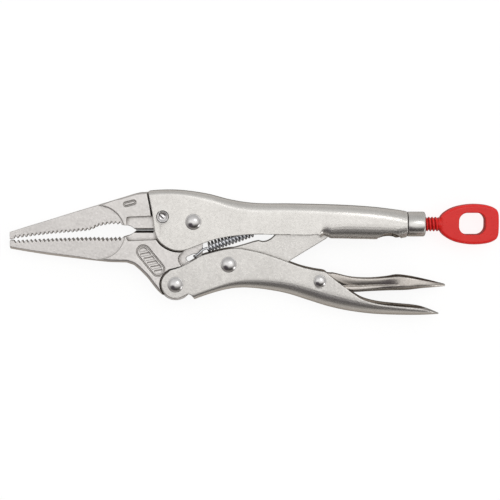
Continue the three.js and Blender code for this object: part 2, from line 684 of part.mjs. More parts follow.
function returnSpring() {
  const [from, to] = [[6.6, -12.7], [28, -5.2]];
  const coil = new SpringPath(from, to, 2, 1.8);
  const spots = (points) => new THREE.CatmullRomCurve3(points.map((p) => new THREE.Vector3(...p)));
  const start = coil.getPoint(0);
  const end = coil.getPoint(1);
  const jawHook = spots([
    [start.x, start.y, start.z], [4.4, -13.6, 2], [2.4, -15.4, 2],
    [0.6, -16.9, 1.5], [0.3, -17, 0], [0.1, -16.9, -1.8],
  ]);
  const handleHook = spots([
    [end.x, end.y, end.z], [28.8, -3.9, -1.3], [29.6, -2.6, -0.2], [31, -2.1, 0], [32.9, -2, 0],
  ]);
  return wire(coil, 120).add(wire(jawHook, 10)).add(wire(handleHook, 8));
}

// ---------------------------------------------------------------- assembly

const pliers = new THREE.Group();
pliers.position.z = REST_HEIGHT;

function piece(name, shape, finish) {
  const { vertProperties, triVerts } = shape.getMesh();
  const geometry = new THREE.BufferGeometry();
  geometry.setAttribute('position', new THREE.BufferAttribute(vertProperties, 3));
  geometry.setIndex(new THREE.BufferAttribute(triVerts, 1));
  geometry.computeVertexNormals();
  const mesh = new THREE.Mesh(geometry, new THREE.MeshStandardMaterial(finish));
  mesh.name = name;
  pliers.add(mesh);
}

piece('upper_handle', upperHandle(), SATIN);
piece('fixed_jaw', fixedJaw(), FORGED);
piece('fixed_jaw_pin', fixingPin(), SATIN);
piece('main_pivot_rivet', rivet(MAIN_PIVOT, RIVET), BRIGHT);
piece('lower_jaw', lowerJaw(), FORGED);
piece('lower_handle', lowerHandle(), SATIN);
piece('jaw_handle_rivet', rivet(JAW_PIVOT, RIVET), BRIGHT);
piece('link_rivet', rivet(LINK_PIVOT, RIVET), BRIGHT);
piece('toggle_link', toggleLink(), SATIN);
piece('release_lever', releaseLever(), SATIN);
piece('lever_pin', rivet(LEVER_PIVOT, LEVER_RIVET, HEAD_SEAT + 0.3), BRIGHT);
piece('return_spring', returnSpring(), STEEL);
piece('screw_collar', screwCollar(), SATIN);
piece('screw_stop_ring', stopRing(), STEEL);
piece('adjusting_screw', adjustingScrew(), RED);

const model = new THREE.Group();
model.add(pliers);

export default model;
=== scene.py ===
"""Looks of the long-nose locking pliers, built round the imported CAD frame.

Shapes are drawn in millimetres in the pliers' own middle plane (x to the tail, y to the fixed
handle, z along the pivots) and become metres in the row frame when each piece is finished.
"""

import math

import bpy
import numpy as np
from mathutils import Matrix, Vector


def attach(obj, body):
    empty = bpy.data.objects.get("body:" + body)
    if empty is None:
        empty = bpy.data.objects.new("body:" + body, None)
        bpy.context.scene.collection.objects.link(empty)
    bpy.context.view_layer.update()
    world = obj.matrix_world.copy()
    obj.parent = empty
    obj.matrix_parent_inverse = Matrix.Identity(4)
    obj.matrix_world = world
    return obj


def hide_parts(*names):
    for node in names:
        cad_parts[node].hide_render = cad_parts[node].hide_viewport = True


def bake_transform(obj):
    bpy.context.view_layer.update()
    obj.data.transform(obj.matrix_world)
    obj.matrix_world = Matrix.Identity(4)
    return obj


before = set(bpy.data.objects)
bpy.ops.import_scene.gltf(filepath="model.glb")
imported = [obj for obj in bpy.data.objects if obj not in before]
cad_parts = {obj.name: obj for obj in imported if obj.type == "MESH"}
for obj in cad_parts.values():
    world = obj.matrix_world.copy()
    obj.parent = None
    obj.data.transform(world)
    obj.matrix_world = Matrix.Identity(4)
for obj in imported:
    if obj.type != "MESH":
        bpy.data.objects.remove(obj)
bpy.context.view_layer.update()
scene = bpy.context.scene

# ---------------------------------------------------------------- driving dimensions, mm

REST_HEIGHT = 7.75  # middle plane above the floor
SHEET = 2.2  # handle sheet
CHEEK = 6.15  # half width over the handles' cheeks
HEAD_SEAT = CHEEK + 0.1  # underside of a rivet's head
CLEAR = 14  # half depth of a cut through everything

MAIN_PIVOT = (0, 0)
JAW_PIVOT = (-8.6, -30)
LINK_PIVOT = (16.8, -20.4)
LEVER_PIVOT = (60.4, -28.3)
FIXING_PIN = (-14.6, 2.4)
RIVET = (2.6, 3.75, HEAD_SEAT)  # shank radius, head radius, seat
LEVER_RIVET = (2.1, 3.0, HEAD_SEAT + 0.3)
RIVET_HOLE = 2.8
LEVER_HOLE = 2.3
PIN_HOLE = 2.9

HANDLE_FRONT = -21.4
HANDLE_END = 102.2
LEVER_END = 120.8
LEVER_WALL = 1.3
SCALLOP_FLOOR = -2.5  # the cheek that the scallop leaves standing starts here

SCREW_Y = -1.4  # height of the screw's axis
SEAT_RADIUS = 4.9  # round seat of the collar in the handle's end
THREAD_RADIUS = 3.5
THREAD_CORE = 2.75
THREAD_PITCH = 1.6
SPINDLE = 2.9  # plain part of the screw
SCREW_TIP = 68.8
RING_X = 71.2
RING_THICK = 1.2
RING_END = RING_X + RING_THICK
COLLAR_START = 97.4
COLLAR_FACE = HANDLE_END + 0.3
COLLAR_END = 110.9
COLLAR_RADIUS = 5.95
LOOP_START = 118

COIL_RADIUS = 2.0
WIRE = 0.55

VOXEL = 0.2

# ---------------------------------------------------------------- lines and profiles


def spline(points, steps):
    """A smooth line through the points."""
    pts = np.array(points, float)
    last = len(pts) - 1
    out = []
    for i in range(steps + 1):
        at = last * i / steps
        k = min(int(at), last - 1)
        t = at - k
        p0, p1, p2, p3 = (pts[max(0, min(last, k + d))] for d in (-1, 0, 1, 2))
        v0, v1 = (p2 - p0) / 2, (p3 - p1) / 2
        out.append(
            (2 * p1 - 2 * p2 + v0 + v1) * t**3 + (-3 * p1 + 3 * p2 - 2 * v0 - v1) * t**2 + v0 * t + p1
        )
    return [tuple(p) for p in out]


def arc(centre, radius, start, end, steps=24):
    angles = np.radians(np.linspace(start, end, steps + 1))
    return [(centre[0] + radius * math.cos(a), centre[1] + radius * math.sin(a)) for a in angles]


def profile(points):
    """Smooth height y(x) through a short list of (x, y)."""
    xs, ys = (np.array(c, float) for c in zip(*points, strict=True))
    prev, after = np.maximum(np.arange(len(xs)) - 1, 0), np.minimum(np.arange(len(xs)) + 1, len(xs) - 1)
    slope = (ys[after] - ys[prev]) / (xs[after] - xs[prev])

    def height(x):
        i = int(np.clip(np.searchsorted(xs, x, side="right") - 1, 0, len(xs) - 2))
        span, rise = xs[i + 1] - xs[i], ys[i + 1] - ys[i]
        t = float(np.clip((x - xs[i]) / span, 0, 1))
        a, b = slope[i] * span - rise, rise - slope[i + 1] * span
        return ys[i] + t * rise + t * (1 - t) * ((1 - t) * a + t * b)

    return height


def region(*runs):
    """A closed outline from runs of points, without repeated points."""
    points = [tuple(p) for run in runs for p in run]
    kept = [p for i, p in enumerate(points) if math.dist(p, points[i - 1]) > 0.01]
    area = sum(a[0] * b[1] - b[0] * a[1] for a, b in zip(kept, kept[1:] + kept[:1], strict=True))
    return kept if area > 0 else kept[::-1]


def smoothstep(x, low, high):
    t = min(1, max(0, (x - low) / (high - low)))
    return t * t * (3 - 2 * t)


# ---------------------------------------------------------------- solids


def solid(verts, faces):
    mesh = bpy.data.meshes.new("work")
    mesh.from_pydata([tuple(map(float, v)) for v in verts], [], faces)
    mesh.update()
    obj = bpy.data.objects.new("work", mesh)
    scene.collection.objects.link(obj)
    return obj


def skin(rings, closed=False):
    """Quads through rings of the same length, with a cap on each end."""
    n, count = len(rings[0]), len(rings)
    verts = [p for ring in rings for p in ring]
    faces = []
    for s in range(count if closed else count - 1):
        a, b = s * n, (s + 1) % count * n
        faces += [(a + i, a + (i + 1) % n, b + (i + 1) % n, b + i) for i in range(n)]
    if not closed:
        faces += [tuple(range(n - 1, -1, -1)), tuple((count - 1) * n + i for i in range(n))]
    return solid(verts, faces)


def prism(outline, low, high):
    return skin([[(x, y, z) for x, y in outline] for z in (low, high)])


def through(outline, half):
    return prism(outline, -half, half)


def loft(stations, ring):
    """A closed skin through one ring of (y, z) points at each x."""
    return skin([[(x, y, z) for y, z in ring(x)] for x in stations])


def rounded_ring(low, high, half, low_radii, high_radii, steps=9):
    """A (y, z) ring with elliptical corners; each pair of radii is (along y, along z)."""
    (low_y, low_z), (high_y, high_z) = low_radii, high_radii
    corners = (
        (high - high_y, high_z - half, high_y, high_z, -90),
        (high - high_y, half - high_z, high_y, high_z, 0),
        (low + low_y, half - low_z, low_y, low_z, 90),
        (low + low_y, low_z - half, low_y, low_z, 180),
    )
    return [
        (y + ry * c, z + rz * s)
        for y, z, ry, rz, start in corners
        for c, s in arc((0, 0), 1, start, start + 90, steps)
    ]


def outward(outline, distance):
    """The outline moved outward, for smooth outlines."""
    pts = np.array(outline)
    along = np.roll(pts, -1, 0) - np.roll(pts, 1, 0)
    normal = np.stack([along[:, 1], -along[:, 0]], 1) / np.linalg.norm(along, axis=1)[:, None]
    return [tuple(p) for p in pts + normal * distance]


def rounded_plate(outline, half, depth, inset, steps=6, flare=False):
    """A plate whose edges are rounded over the last depth of each side, or a cutter that flares."""
    sign = 1 if flare else -1
    levels = []
    for i in range(steps + 1):
        a = math.radians(90 * i / steps)
        levels.append((half - depth + depth * math.sin(a), inset * (1 - math.cos(a))))
    levels = [(-z, d) for z, d in reversed(levels)] + levels
    return skin([[(x, y, z) for x, y in outward(outline, sign * d)] for z, d in levels])


def lathe(points, segments=64):
    """Turned about z: points are (radius, z), from one end of the axis to the other."""
    rings = []
    for r, z in points:
        r = max(r, 1e-3)
        rings.append([
            (r * math.cos(a), r * math.sin(a), z)
            for a in np.linspace(0, 2 * math.pi, segments, endpoint=False)
        ])
    return skin(rings)


def tube(path, radius, sides=12):
    """A round wire along a path of 3-D points."""
    pts = np.array(path, float)
    tangents = np.gradient(pts, axis=0)
    tangents /= np.linalg.norm(tangents, axis=1)[:, None]
    side = np.cross(tangents[0], (0.3, 0.2, 0.9))
    rings = []
    for p, t in zip(pts, tangents, strict=True):
        side = side - t * (side @ t)
        side /= np.linalg.norm(side)
        other = np.cross(t, side)
        rings.append([
            tuple(p + radius * (math.cos(a) * side + math.sin(a) * other))
            for a in np.linspace(0, 2 * math.pi, sides, endpoint=False)
        ])
    return skin(rings)


def bake(obj):
    """Applies the object's modifiers to its mesh."""
    graph = bpy.context.evaluated_depsgraph_get()
    mesh = bpy.data.meshes.new_from_object(obj.evaluated_get(graph))
    obj.modifiers.clear()
    obj.data = mesh
    return obj


def combine(obj, operation, *tools):
    for tool in tools:
        change = obj.modifiers.new("combine", "BOOLEAN")
        change.operation, change.solver, change.object = operation, "MANIFOLD", tool
        bake(obj)
        bpy.data.objects.remove(tool)
    return obj


def cut(obj, *tools):
    return combine(obj, "DIFFERENCE", *tools)


def join(obj, *tools):
    return combine(obj, "UNION", *tools)


def keep(obj, tool):
    return combine(obj, "INTERSECT", tool)


def from_cad(node):
    """A CAD node's shape in the drawing's millimetres."""
    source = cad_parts[node].data
    mesh = source.copy()
    co = np.zeros(len(mesh.vertices) * 3)
    mesh.vertices.foreach_get("co", co)
    co = co.reshape(-1, 3) * 1000
    co[:, 2] -= REST_HEIGHT
    mesh.vertices.foreach_set("co", co.ravel())
    obj = bpy.data.objects.new("work", mesh)
    scene.collection.objects.link(obj)
    weld = obj.modifiers.new("weld", "WELD")
    weld.merge_threshold = 1e-4
    return bake(obj)


def wrought(obj, voxel=VOXEL, smoothing=4, most=90000):
    """Evens the mesh out and rounds its edges a little, as plating and tumbling do."""
    even = obj.modifiers.new("even", "REMESH")
    even.mode, even.voxel_size = "VOXEL", voxel
    soft = obj.modifiers.new("soft", "SMOOTH")
    soft.factor, soft.iterations = 0.5, smoothing
    bake(obj)
    triangles = 2 * len(obj.data.polygons)
    if triangles > most:
        thin = obj.modifiers.new("thin", "DECIMATE")
        thin.ratio = most / triangles
        bake(obj)
    return obj


def coordinates(obj):
    co = np.zeros(len(obj.data.vertices) * 3)
    obj.data.vertices.foreach_get("co", co)
    return co.reshape(-1, 3)


def reshape(obj, change):
    """Moves the vertices: change takes x, y and z arrays and gives them back."""
    co = coordinates(obj)
    obj.data.vertices.foreach_set("co", np.stack(change(*co.T), 1).ravel())
    obj.data.update()
    return obj


def finish_piece(obj, name, body, material, node):
    """Brings a drawn piece into the row frame and hands it over."""
    co = coordinates(obj)
    co[:, 2] += REST_HEIGHT
    obj.data.vertices.foreach_set("co", (co / 1000).ravel())
    obj.data.polygons.foreach_set("use_smooth", np.ones(len(obj.data.polygons), bool))
    obj.data.materials.clear()
    obj.data.materials.append(material)
    obj.data.update()
    obj.name = obj.data.name = name
    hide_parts(node)
    if body:
        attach(obj, body)
    return obj


# ---------------------------------------------------------------- materials


class Nodes:
    """A short way to write a material's node tree."""

    def __init__(self, name):
        self.material = bpy.data.materials.new(name)
        self.material.use_nodes = True
        self.tree = self.material.node_tree
        self.shader = self.tree.nodes["Principled BSDF"]
        self.place = self.add("ShaderNodeTexCoord").outputs["Object"]

    def add(self, kind, **settings):
        node = self.tree.nodes.new(kind)
        for key, value in settings.items():
            setattr(node, key, value)
        return node

    def link(self, source, target):
        self.tree.links.new(source, target)

    def noise(self, scale, detail=3, rough=0.5):
        node = self.add("ShaderNodeTexNoise")
        node.inputs["Scale"].default_value = scale
        node.inputs["Detail"].default_value = detail
        node.inputs["Roughness"].default_value = rough
        self.link(self.place, node.inputs["Vector"])
        return node.outputs["Fac"]

    def span(self, value, low, high, to_low, to_high):
        """The value mapped from low..high to to_low..to_high, without going past them."""
        node = self.add("ShaderNodeMapRange", clamp=True)
        self.link(value, node.inputs["Value"])
        ends = {"From Min": low, "From Max": high, "To Min": to_low, "To Max": to_high}
        for key, number in ends.items():
            node.inputs[key].default_value = number
        return node.outputs["Result"]

    def math(self, operation, a, b):
        node = self.add("ShaderNodeMath", operation=operation)
        for slot, value in zip(node.inputs, (a, b), strict=False):
            if isinstance(value, (int, float)):
                slot.default_value = value
            else:
                self.link(value, slot)
        return node.outputs["Value"]

    def mix(self, factor, a, b):
        node = self.add("ShaderNodeMix", data_type="RGBA")
        self.link(factor, node.inputs["Factor"])
        for slot, value in ((node.inputs[6], a), (node.inputs[7], b)):
            if isinstance(value, tuple):
                slot.default_value = (*value, 1)
            else:
                self.link(value, slot)
        return node.outputs[2]

    def bump(self, height, distance, strength):
        node = self.add("ShaderNodeBump")
        node.inputs["Distance"].default_value = distance
        node.inputs["Strength"].default_value = strength
        self.link(height, node.inputs["Height"])
        self.link(node.outputs["Normal"], self.shader.inputs["Normal"])

    def pointiness(self):
        return self.add("ShaderNodeNewGeometry").outputs["Pointiness"]

    def upward(self, vector):
        parts = self.add("ShaderNodeSeparateXYZ")
        self.link(vector, parts.inputs["Vector"])
        return parts.outputs["Z"]

    def upright(self):
        """1 on a face that looks straight up, -1 on one that looks down, 0 on a wall."""
        return self.upward(self.add("ShaderNodeNewGeometry").outputs["Normal"])

    def level(self):
        """1 on level faces, up or down, and 0 on walls."""
        return self.math("ABSOLUTE", self.upright(), 0.0)

    def facing_out(self):
        """Height over the tool's middle plane times the upward part of the normal."""
        height = self.math("SUBTRACT", self.upward(self.place), REST_HEIGHT / 1000)
        return self.math("MULTIPLY", height, self.upright())

    def openness(self, distance):
        """1 where nothing is near, less in a crevice or under an overhang."""
        node = self.add("ShaderNodeAmbientOcclusion", samples=8)
        node.inputs["Distance"].default_value = distance
        return node.outputs["AO"]


def plated(name, light, dark, rough, grain=1.0, shade_depth=0.95, stain_and_shade=(0.30, 0.21, 0.13)):
    """Blasted and nickel-plated steel: mottled grain, soft patches, painted highlights on the edges, brown
    crevices that are partly stain and partly painted shade, and painted shade under overhangs and inside the
    channels.
    """
    n = Nodes(name)
    fine = n.noise(2600, 2, 0.6)
    mottle = n.noise(900, 4, 0.62)
    patch = n.noise(60, 3, 0.5)
    tone = n.math("ADD", n.span(mottle, 0.3, 0.7, 0.0, 0.62), n.span(patch, 0.35, 0.65, 0.0, 0.38))
    colour = n.mix(tone, dark, light)
    sharp = n.pointiness()
    # painted highlight: the sharpest edges are lightened towards near white
    colour = n.mix(n.span(sharp, 0.54, 0.64, 0.0, 0.2), colour, (0.93, 0.92, 0.9))
    # crevices are mixed towards brown, partly as stain and partly as painted shade
    patchy = n.span(mottle, 0.3, 0.6, 0.55, 1.0)
    crevice = n.math("MULTIPLY", n.span(sharp, 0.46, 0.40, 0.0, 0.8), patchy)
    colour = n.mix(crevice, colour, stain_and_shade)
    # painted shade where something overhangs, but not on the walls that the floor lights from below
    shade = n.span(n.openness(0.0022), 0.85, 0.3, 0.0, shade_depth)
    overhang_shade_colour, inside_shade_colour = (tuple(share * c for c in stain_and_shade) for share in (0.16, 0.25))
    colour = n.mix(n.math("MULTIPLY", shade, n.span(n.level(), 0.08, 0.35, 0.1, 1.0)), colour, overhang_shade_colour)
    # painted shade on the insides of the channels, which face the middle plane: they are mixed towards a dark
    # brown
    colour = n.mix(n.span(n.facing_out(), 0.0, -0.0015, 0.0, 0.9), colour, inside_shade_colour)
    n.link(colour, n.shader.inputs["Base Color"])
    n.link(n.span(mottle, 0.3, 0.7, rough + 0.05, rough - 0.05), n.shader.inputs["Roughness"])
    n.shader.inputs["Metallic"].default_value = 0.9
    height = n.math("ADD", n.math("MULTIPLY", fine, 0.45), mottle)
    n.bump(height, 0.00008 * grain, 0.6)
    return n.material


def polished(name, light, dark, rough, shaded=(0.75, 0.25)):
    """Bright plated steel with faint dimples, and painted shade where it is sunk."""
    n = Nodes(name)
    speck = n.noise(1500, 4, 0.6)
    haze = n.noise(250, 3, 0.5)
    colour = n.mix(n.span(haze, 0.35, 0.65, 0.0, 1.0), dark, light)
    # painted shade: near black where the surface is sunk or overhung
    colour = n.mix(n.span(n.openness(0.0018), *shaded, 0.0, 0.95), colour, (0.02, 0.018, 0.018))
    n.link(colour, n.shader.inputs["Base Color"])
    n.link(n.span(speck, 0.3, 0.7, rough - 0.05, rough + 0.06), n.shader.inputs["Roughness"])
    n.shader.inputs["Metallic"].default_value = 1.0
    n.bump(speck, 0.00004, 0.5)
    return n.material


def coated():
    """A thick red dip coating: slight orange peel, with painted shade in the grooves, under overhangs and on
    the side walls.
    """
    n = Nodes("red_coating")
    peel = n.noise(700, 3, 0.5)
    cloud = n.noise(120, 3, 0.5)
    colour = n.mix(n.span(cloud, 0.3, 0.7, 0.0, 1.0), (0.92, 0.020, 0.018), (1.0, 0.032, 0.026))
    # painted shade: a darker red in the grooves and where something overhangs
    colour = n.mix(n.span(n.pointiness(), 0.48, 0.40, 0.0, 0.5), colour, (0.24, 0.002, 0.004))
    colour = n.mix(n.span(n.openness(0.0012), 0.85, 0.5, 0.0, 0.9), colour, (0.10, 0.001, 0.002))
    # painted shade: the side walls are mixed towards a deeper red
    colour = n.mix(n.span(n.level(), 0.5, 0.1, 0.0, 0.7), colour, (0.30, 0.004, 0.006))
    n.link(colour, n.shader.inputs["Base Color"])
    n.link(n.span(peel, 0.3, 0.7, 0.26, 0.36), n.shader.inputs["Roughness"])
    n.shader.inputs["Specular IOR Level"].default_value = 0.4
    n.bump(peel, 0.00012, 0.35)
    return n.material


SATIN = plated("satin_nickel", (0.84, 0.82, 0.785), (0.70, 0.68, 0.65), 0.26)
# painted shade: a darker copy of the satin nickel, used for the moving handle and the toggle link
SHADED_SATIN = plated("shaded_satin_nickel", (0.79, 0.77, 0.74), (0.63, 0.61, 0.585), 0.29, 1.2, shade_depth=0.6)
FORGED = plated("forged_nickel", (0.84, 0.81, 0.785), (0.68, 0.655, 0.635), 0.32, 1.3)
PRESSED = plated("pressed_nickel", (0.68, 0.64, 0.60), (0.50, 0.46, 0.42), 0.21, 0.7, shade_depth=0.5)
BRIGHT = polished("polished_nickel", (0.80, 0.785, 0.78), (0.68, 0.665, 0.66), 0.2)
TURNED = polished("turned_nickel", (0.80, 0.785, 0.76), (0.70, 0.685, 0.66), 0.24)
STEEL = polished("spring_steel", (0.94, 0.96, 1.0), (0.84, 0.86, 0.90), 0.3, shaded=(0.42, 0.2))
RED = coated()

# ---------------------------------------------------------------- handles


def hole(centre, radius):
    return through(region(arc(centre, radius, 0, 360, 64)[1:]), CLEAR)


def staked(obj, *centres):
    """A shallow ring pressed in both cheeks round each rivet."""

    def change(x, y, z):
        for cx, cy, radius in centres:
            ring = np.exp(-(((np.hypot(x - cx, y - cy) - radius) / 0.35) ** 2))
            z = z - np.sign(z) * np.where(np.abs(z) > CHEEK - 0.4, 0.13 * ring, 0)
        return x, y, z

    return reshape(obj, change)


handle_top = profile([
    (-23, 14.4), (-16, 15), (-8, 15), (0, 14.2), (8, 12.8), (16, 10.7), (24, 9.2), (32, 8.5), (46, 8.4),
    (60, 8.1), (72, 7.7), (86, 6.8), (98, 5.4), (HANDLE_END, 4.7),
])  # fmt: skip
handle_bottom = profile([
    (-23, -22), (56, -22), (61, -7.6), (66, -8.2), (80, -8.7), (92, -8.8), (98, -8.4), (HANDLE_END, -7.6),
])  # fmt: skip
handle_half = profile([
    (-23, CHEEK), (30, CHEEK), (60, 7.1), (72, 7.55), (88, 7.4), (98, 6.6), (HANDLE_END, 6.1),
])  # fmt: skip

# radii of the section's upper and lower corners, along y and along z
upper_bend_y = profile([
    (-23, 2.6), (-6, 2.6), (8, 3.6), (20, 4.6), (45, 4), (75, 4.8), (HANDLE_END, 5.2),
])  # fmt: skip
upper_bend_z = profile([(-23, 2.4), (0, 2.6), (20, 3.4), (60, 3.8), (92, 4.6), (HANDLE_END, 5.4)])
lip_y = profile([
    (-23, 0.6), (54, 0.6), (58, 2.8), (61, 4.8), (70, 7.6), (90, 7.8), (98, 6.4), (HANDLE_END, 6),
])  # fmt: skip
lip_z = profile([(-23, 0.6), (54, 0.6), (58, 2), (61, 3.4), (72, 5.2), (92, 5.2), (HANDLE_END, 5.6)])


def upper_handle():
    def outside(x):
        lips, bends = (lip_y(x), lip_z(x)), (upper_bend_y(x), upper_bend_z(x))
        return rounded_ring(handle_bottom(x), handle_top(x), handle_half(x), lips, bends)

    def inside(x):
        """An open channel in front; at the back the round seat of the collar."""
        mix = smoothstep(x, 86, 96)

        def value(channel, at_seat):
            return channel + (at_seat - channel) * mix

        def corner(radius):
            return value(max(radius - SHEET, 0.5), SEAT_RADIUS - 0.1)

        return rounded_ring(
            value(-30 if x < 58 else handle_bottom(x) + SHEET, SCREW_Y - SEAT_RADIUS),
            value(handle_top(x) - SHEET, SCREW_Y + SEAT_RADIUS),
            value(handle_half(x) - SHEET, SEAT_RADIUS),
            (corner(lip_y(x)), corner(lip_z(x))),
            (corner(SHEET + 1.2), corner(SHEET + 1.2)),
        )

    along = np.linspace(HANDLE_FRONT, HANDLE_END, 160)
    handle = loft(along, outside)
    hollow = loft([-25, *along[1:-1], HANDLE_END + 1], inside)
    slit = through(region([(50, -14), (96, -14), (96, -3), (50, -3)]), 3.7)
    edge = region(
        [(HANDLE_FRONT, 20), (HANDLE_FRONT, 14.4)],
        spline([
            (HANDLE_FRONT, 14.4), (-20.4, 9), (-19.5, 4), (-18.8, -1), (-18.3, -5), (-17, -8.3),
            (-14.9, -10.7), (-12, -12.6), (-9, -13.6), (-6, -13.8), (-3, -13.2), (0, -12.1), (5, -10.2),
            (10, -8.5), (16, -7.2), (23, -6.4), (30, -6), (40, -6.1), (50, -6.3), (56, -6.4),
        ], 120),
        [(58.6, -5.9), (60.6, -6.5), (61.4, -12), (87, -12)],
        spline([(88, -9.4), (89.6, -8.3), (91.6, -7.7), (94, -7.5), (96.4, -7.8), (98.2, -8.7)], 30),
        [(98.8, -12), (105, -12), (105, 20)],
    )  # fmt: skip
    # the scallop is cut deeper in the upper cheek than in the lower one
    near_edge = spline([(87, -9.4), (88.4, -7.6), (91, -5.9), (94, -5.4), (97, -6.2), (99.4, -8)], 30)
    scallop = prism(region([(86, -12)], near_edge, [(100, -12)]), SCALLOP_FLOOR, 12)
    cut(keep(cut(handle, hollow, slit), through(edge, CLEAR)), scallop)
    # the tongue lanced out of the handle's back, with the window that the spring hooks in
    tongue = through([(30.5, -4.4), (32.1, -4.4), (32.1, -1), (33.3, 7.2), (31.5, 7.2), (30.5, -1)], 2.4)
    window = loft((27, 36), lambda x: ((-3.2, -1), (-1, -1), (-1, 1), (-3.2, 1)))
    join(handle, cut(tongue, window))
    cut(handle, hole(MAIN_PIVOT, RIVET_HOLE), hole(FIXING_PIN, PIN_HOLE))
    wrought(handle, smoothing=5)

    def wrinkle(x, y, z):
        """Faint folds where the end is swaged down on the collar."""
        low = np.clip((x - 94) / 5, 0, 1) * np.clip((HANDLE_END + 0.2 - x) / 2, 0, 1)
        fold = 0.045 * np.sin(x * 4.6 + 0.5 * np.sin(y)) * low
        return x, y - fold * np.sign(y - SCREW_Y), z - fold * np.sign(z)

    return staked(reshape(handle, wrinkle), (*MAIN_PIVOT, 4.5), (*FIXING_PIN, 3.6))


lower_bottom = profile([
    (-17, -45), (-3.2, -44), (-1.4, -38.2), (0.4, -37.3), (5, -35.6), (10, -34), (15, -32.7), (20, -31.9),
    (26, -31.8), (35, -32.8), (45, -34.8), (55, -38), (65, -41.1), (75, -43.2), (88, -44.7), (104, -45.1),
    (118, -44.6),
])  # fmt: skip
lower_half = profile([
    (-17, CHEEK), (50, CHEEK), (64, 6.5), (76, 7.2), (90, 7.6), (104, 7.5), (111, 6.5), (116, 4.4),
    (118, 2.6),
])  # fmt: skip
lower_bend_y = profile([
    (-17, 2.8), (8, 3), (20, 4.2), (32, 5.6), (50, 7.4), (70, 7.8), (88, 5.8), (106, 3.6), (118, 1.6),
])  # fmt: skip
lower_bend_z = profile([
    (-17, 2.6), (20, 3.4), (50, 5.4), (80, 6.2), (98, 6.8), (106, 6), (111, 4.4), (118, 1.4),
])  # fmt: skip


def lower_handle():
    def outside(x):
        bends = (lower_bend_y(x), lower_bend_z(x))
        return rounded_ring(lower_bottom(x), 0, lower_half(x), bends, (1, 1))

    def inside(x):
        half = max(lower_half(x) - SHEET, 0.7)
        bend = (max(lower_bend_y(x) - SHEET, 0.6), min(max(lower_bend_z(x) - SHEET, 0.6), half * 0.8))
        return rounded_ring(lower_bottom(x) + SHEET, 2, half, bend, (0.5, 0.5))

    along = np.concatenate([[-17, -10, -3.2], np.linspace(-1.4, 110, 130), np.linspace(110.5, 118, 24)])
    handle = loft(along, outside)
    hollow = loft([-20, *along[1:-1], 121], inside)
    edge = region(
        arc(JAW_PIVOT, 6.8, 306, 122, 60),
        spline([
            (-12.2, -24.2), (-11, -23.1), (-8.6, -22.4), (-5.6, -21.3), (-2.4, -19.7), (0.8, -17.9),
            (4, -16.1), (8, -14.9), (13, -13.6), (18, -12.8), (22, -12.8), (28, -13.9), (34, -15.4),
            (40, -17.4), (46, -19.6), (52, -21.7), (58, -23.1), (62.6, -23.9), (64.4, -25.2),
        ], 120),
        [(68, -28.1), (76, -34)],
        spline([
            (76, -34), (80, -36.6), (84, -38.2), (90, -39.5), (98, -40.4), (106, -41.1), (111, -42),
            (118, -44.4),
        ], 48),
        [(119, -50), (0.4, -50), (0.4, -37.4)],
        spline([(0.4, -37.4), (-0.3, -36.2), (-1.4, -35), (-2.6, -34.6)], 18),
    )  # fmt: skip
    keep(cut(handle, hollow), through(edge, CLEAR))
    cut(handle, hole(JAW_PIVOT, RIVET_HOLE), hole(LINK_PIVOT, RIVET_HOLE), hole(LEVER_PIVOT, LEVER_HOLE))
    wrought(handle, smoothing=5)
    return staked(handle, (*JAW_PIVOT, 4.6), (*LINK_PIVOT, 4.5), (*LEVER_PIVOT, 3.7))


lever_top = profile([
    (44, -20), (60, -23.6), (68, -25.2), (76, -27), (85, -27.4), (93, -26.8), (98, -26.2), (103, -26.7),
    (111, -28.2), (LEVER_END, -30.3),
])  # fmt: skip
lever_bottom = profile([
    (44, -30), (60, -33), (76, -34), (85, -33.6), (95, -33.2), (103, -32.9), (110, -31.9), (LEVER_END, -31.2),
])  # fmt: skip
lever_half = profile([
    (44, 3.5), (84, 3.6), (92, 4.3), (98, 6.2), (103, 6.9), (109, 6.4), (115, 4.6), (LEVER_END, 1.6),
])  # fmt: skip
lever_bend = profile([
    (44, 1.8), (84, 1.9), (93, 3), (100, 5), (104, 5.2), (109, 3.2), (115, 1.4), (LEVER_END, 0.4),
])  # fmt: skip
# how far the walls are pinched in over a ledge near the back
lever_waist = profile([(44, 0), (64, 0), (70, 0.8), (88, 0.8), (95, 0.4), (99, 0), (LEVER_END, 0)])


